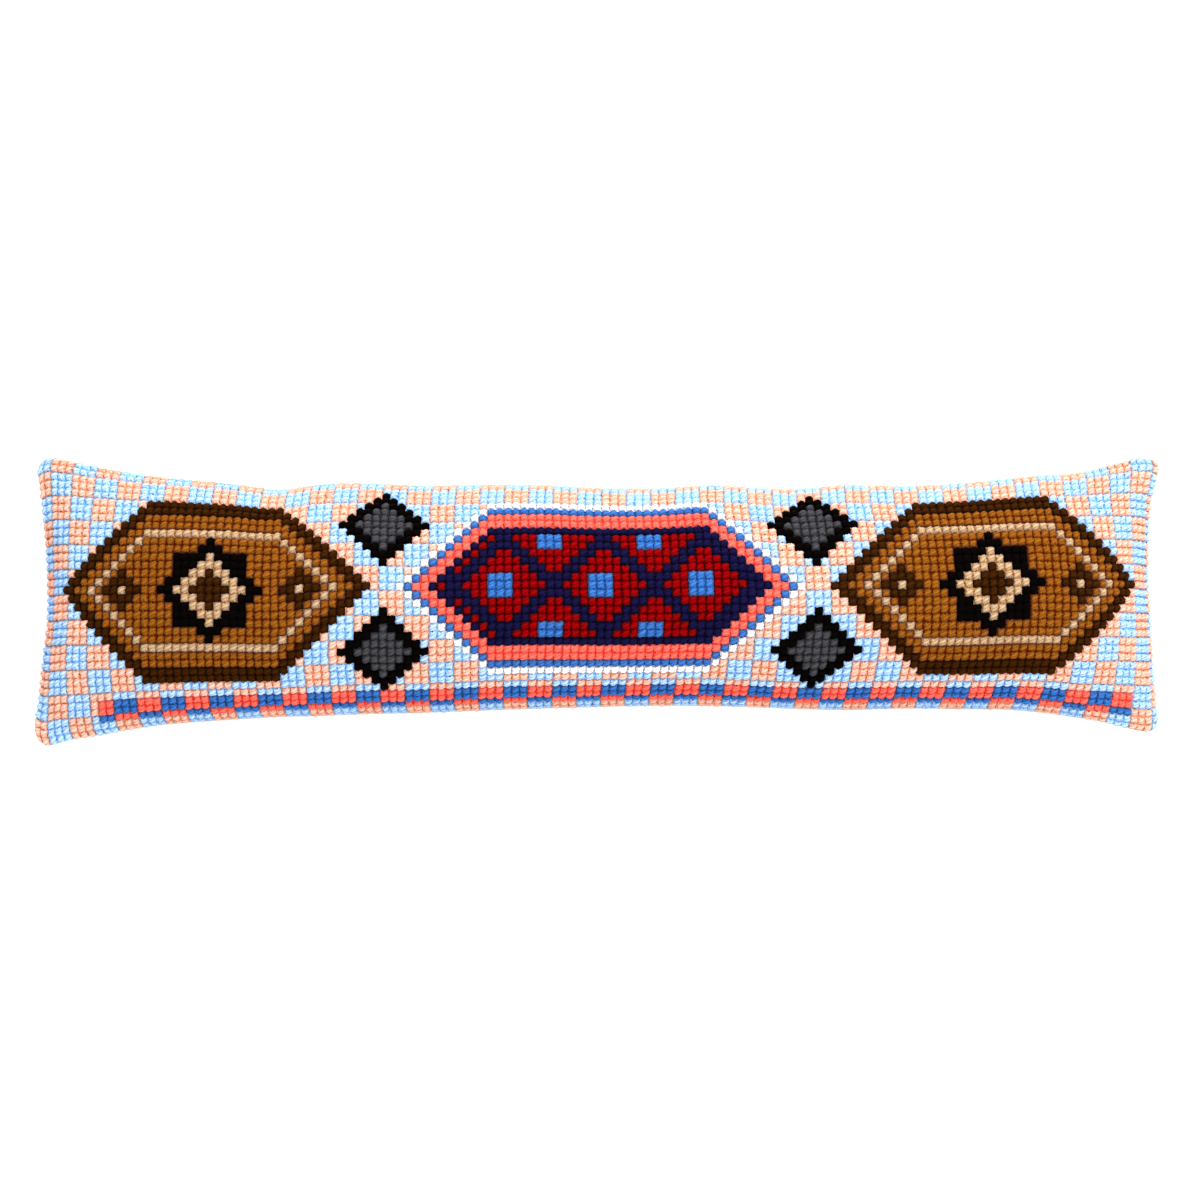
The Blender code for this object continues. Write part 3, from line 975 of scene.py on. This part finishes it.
# ---------------- the cover and the canvas
def padded_body(face, normal, back, material):
    """The filled cover: its front lies under the canvas, its back is the cotton cloth.

    At the seam the two come together a little under the stitched face.
    """
    along = np.linspace(0, face.shape[0] - 1, BODY_ALONG + 1).round().astype(int)
    across = np.linspace(0, face.shape[1] - 1, BODY_ACROSS + 1).round().astype(int)
    face, normal, back = (net[along][:, across] for net in (face, normal, back))
    rim = np.ones(face.shape[:2], dtype=bool)
    rim[1:-1, 1:-1] = False
    run = net_lengths(face)
    back = back + PUCKER_DEPTH * seam_puckers(run)[..., None] * net_normals(back)
    front = face - BODY_INSET * normal
    level = np.clip(normal[..., 2:3], 0, 1)
    seam = face - BODY_INSET * level * normal
    seam[..., 2:3] -= SEAM_GAP + SEAM_DROP * level
    low = np.where(rim[..., None], seam, back)
    wrong_side = run * np.array([1.0, -1.0])
    piece = closed_net("cotton_back", front, low, run, wrong_side)
    piece.data.materials.append(material)
    return piece


def seam_puckers(run):
    """Small gathers along the four seams, from 0 to 1.

    Along a seam they are a sine that wanders by slower sines; away from it they rise and fade as
    d times exp(1 - d), where d is the distance against their reach.
    """
    length, width = run[..., 0], run[..., 1]
    total = np.zeros_like(length)
    for along, seam_gap in (
            (length, np.minimum(width, FLAT_WIDTH - width)),
            (width, np.minimum(length, FLAT_LENGTH - length))):
        turn = 2 * np.pi * along / PUCKER_PITCH
        wandering = turn
        for size, slower in PUCKER_WANDER:
            wandering = wandering + size * np.sin(turn / slower)
        gather = 0.5 + 0.5 * np.sin(wandering)
        d = seam_gap / PUCKER_REACH
        total += gather * d * np.exp(1 - d)
    return np.clip(total, 0, 1)


def net_lengths(net):
    """A cloth's own map in metres: its flat length and width, shared evenly over its net."""
    n, m = net.shape[:2]
    along = np.linspace(0, FLAT_LENGTH, n)
    across = np.linspace(0, FLAT_WIDTH, m)
    return np.stack(np.meshgrid(along, across, indexing="ij"), axis=-1)


def canvas_sheet(face, normal, chart, material):
    """The canvas under the crosses, one cell to a cross, printed with its yarn's colour darkened as
    painted shade.
    """
    top = (face - CANVAS_TOP * normal)[::FINE, ::FINE]
    bottom = (face - CANVAS_BOTTOM * normal)[::FINE, ::FINE]
    run = net_lengths(top)
    piece = closed_net("stitched_canvas", top, bottom, run, run)
    print_and_shade = np.full((len(piece.data.loops), 4), 1.0, dtype=np.float32)
    # the canvas's print in each yarn's gap colour, which is its painted shade
    gap_shades = np.array([DYES_AND_GAP_SHADES[name][1] for name in YARNS])
    cells = np.repeat(gap_shades[chart].reshape(-1, 3), 4, axis=0)
    print_and_shade[:2 * len(cells), :3] = np.concatenate([cells, cells])
    print_and_shade[2 * len(cells):, :3] = CANVAS_RIM
    layer = piece.data.attributes.new("print_and_shade", "FLOAT_COLOR", "CORNER")
    layer.data.foreach_set("color", print_and_shade.ravel())
    piece.data.materials.append(material)
    return piece


# ---------------- floor, light and camera
VIEW_DISTANCE = 2.5             # camera above the seam
VIEW_LEAN = math.radians(3.1)   # how far it leans towards the lower edge
FRAME_WIDTH = 0.8218            # width of the picture at the seam
PICTURE_X = 1.30 * MM           # middle of the picture, from the cushion's own middle
PICTURE_Y = 0.3 * MM
SENSOR = 36.0
FLOOR_REACH = 6.0
FLOOR_DROP = 0.2 * MM           # gap between the floor and the cushion
FLOOR_COLOUR = (0.92, 0.92, 0.92)
FLOOR_ROUGHNESS = 0.9
# Square soft lights, from the upper right, the lower left, and low behind and before: name, place,
# size, power and colour
LIGHTS = (
    ("key", (0.9, 1.0, 2.2), 1.3, 104.0, (1.0, 0.995, 0.98)),
    ("fill", (-0.3, -0.8, 2.5), 1.6, 26.0, (0.97, 0.985, 1.0)),
    ("behind", (0.0, 1.9, 0.55), 0.9, 25.0, (1.0, 1.0, 1.0)),
    ("before", (0.0, -1.9, 0.60), 1.6, 12.0, (1.0, 1.0, 1.0)),
)


def make_camera():
    """The camera over the stitched face: it leans about the picture's middle at seam height."""
    data = bpy.data.cameras.new("camera")
    data.sensor_width = SENSOR
    data.lens = SENSOR * VIEW_DISTANCE / FRAME_WIDTH
    camera = put_in_scene("camera", data)
    camera.location = (
        PICTURE_X, PICTURE_Y - VIEW_DISTANCE * math.sin(VIEW_LEAN),
        SEAM_HEIGHT + VIEW_DISTANCE * math.cos(VIEW_LEAN))
    camera.rotation_euler = (VIEW_LEAN, 0.0, 0.0)
    bpy.context.scene.camera = camera


def make_floor():
    """A plain pale floor, a hair under the cushion."""
    mesh = bpy.data.meshes.new("floor")
    sides = ((-1, -1), (1, -1), (1, 1), (-1, 1))
    mesh.from_pydata([(x * FLOOR_REACH, y * FLOOR_REACH, 0) for x, y in sides], [], [(0, 1, 2, 3)])
    floor = put_in_scene("floor", mesh)
    floor.location = (0.0, 0.0, -FLOOR_DROP)
    material, tree, shader = new_material("floor")
    feed(tree, shader, {"Base Color": FLOOR_COLOUR, "Roughness": FLOOR_ROUGHNESS})
    mesh.materials.append(material)


def make_lights():
    """The table's soft lights, each turned to the cushion's middle, and a white room."""
    for name, place, size, power, colour in LIGHTS:
        data = bpy.data.lights.new(name, "AREA")
        data.size = size
        data.energy = power
        data.color = colour
        light = put_in_scene(name, data)
        light.location = place
        light.rotation_euler = light.location.to_track_quat("Z", "Y").to_euler()
    world = bpy.data.worlds.new("studio")
    world.use_nodes = True
    room = world.node_tree
    feed(room, room.nodes["Background"], {"Color": (1.0, 1.0, 1.0), "Strength": 1.0})
    bpy.context.scene.world = world
    bpy.context.scene.view_settings.view_transform = "Standard"


# ---------------- the whole cushion
def build():
    """Work out the nets, then lay the cover, the canvas and every yarn's crosses on them."""
    face, back = cushion_nets()
    normal = net_normals(face)
    chart = colour_chart()
    wool = plied_wool_group()
    weave = plain_weave_group()
    body = padded_body(face, normal, back, cotton_material(weave))
    canvas = canvas_sheet(face, normal, chart, canvas_material())
    borders = colour_borders(chart)
    crosses = []
    for n, yarn in enumerate(YARNS):
        column, row = np.nonzero(chart == n)
        crosses.append(wool_piece(
            yarn, column, row, face, normal, borders[:, column, row], wool_material(yarn, wool)))
    for piece in (body, canvas, *crosses):
        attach(piece, "root")
    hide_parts("filled_body")
    for piece in (canvas, *crosses):
        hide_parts("stitched_front")


build()
make_floor()
make_lights()
make_camera()
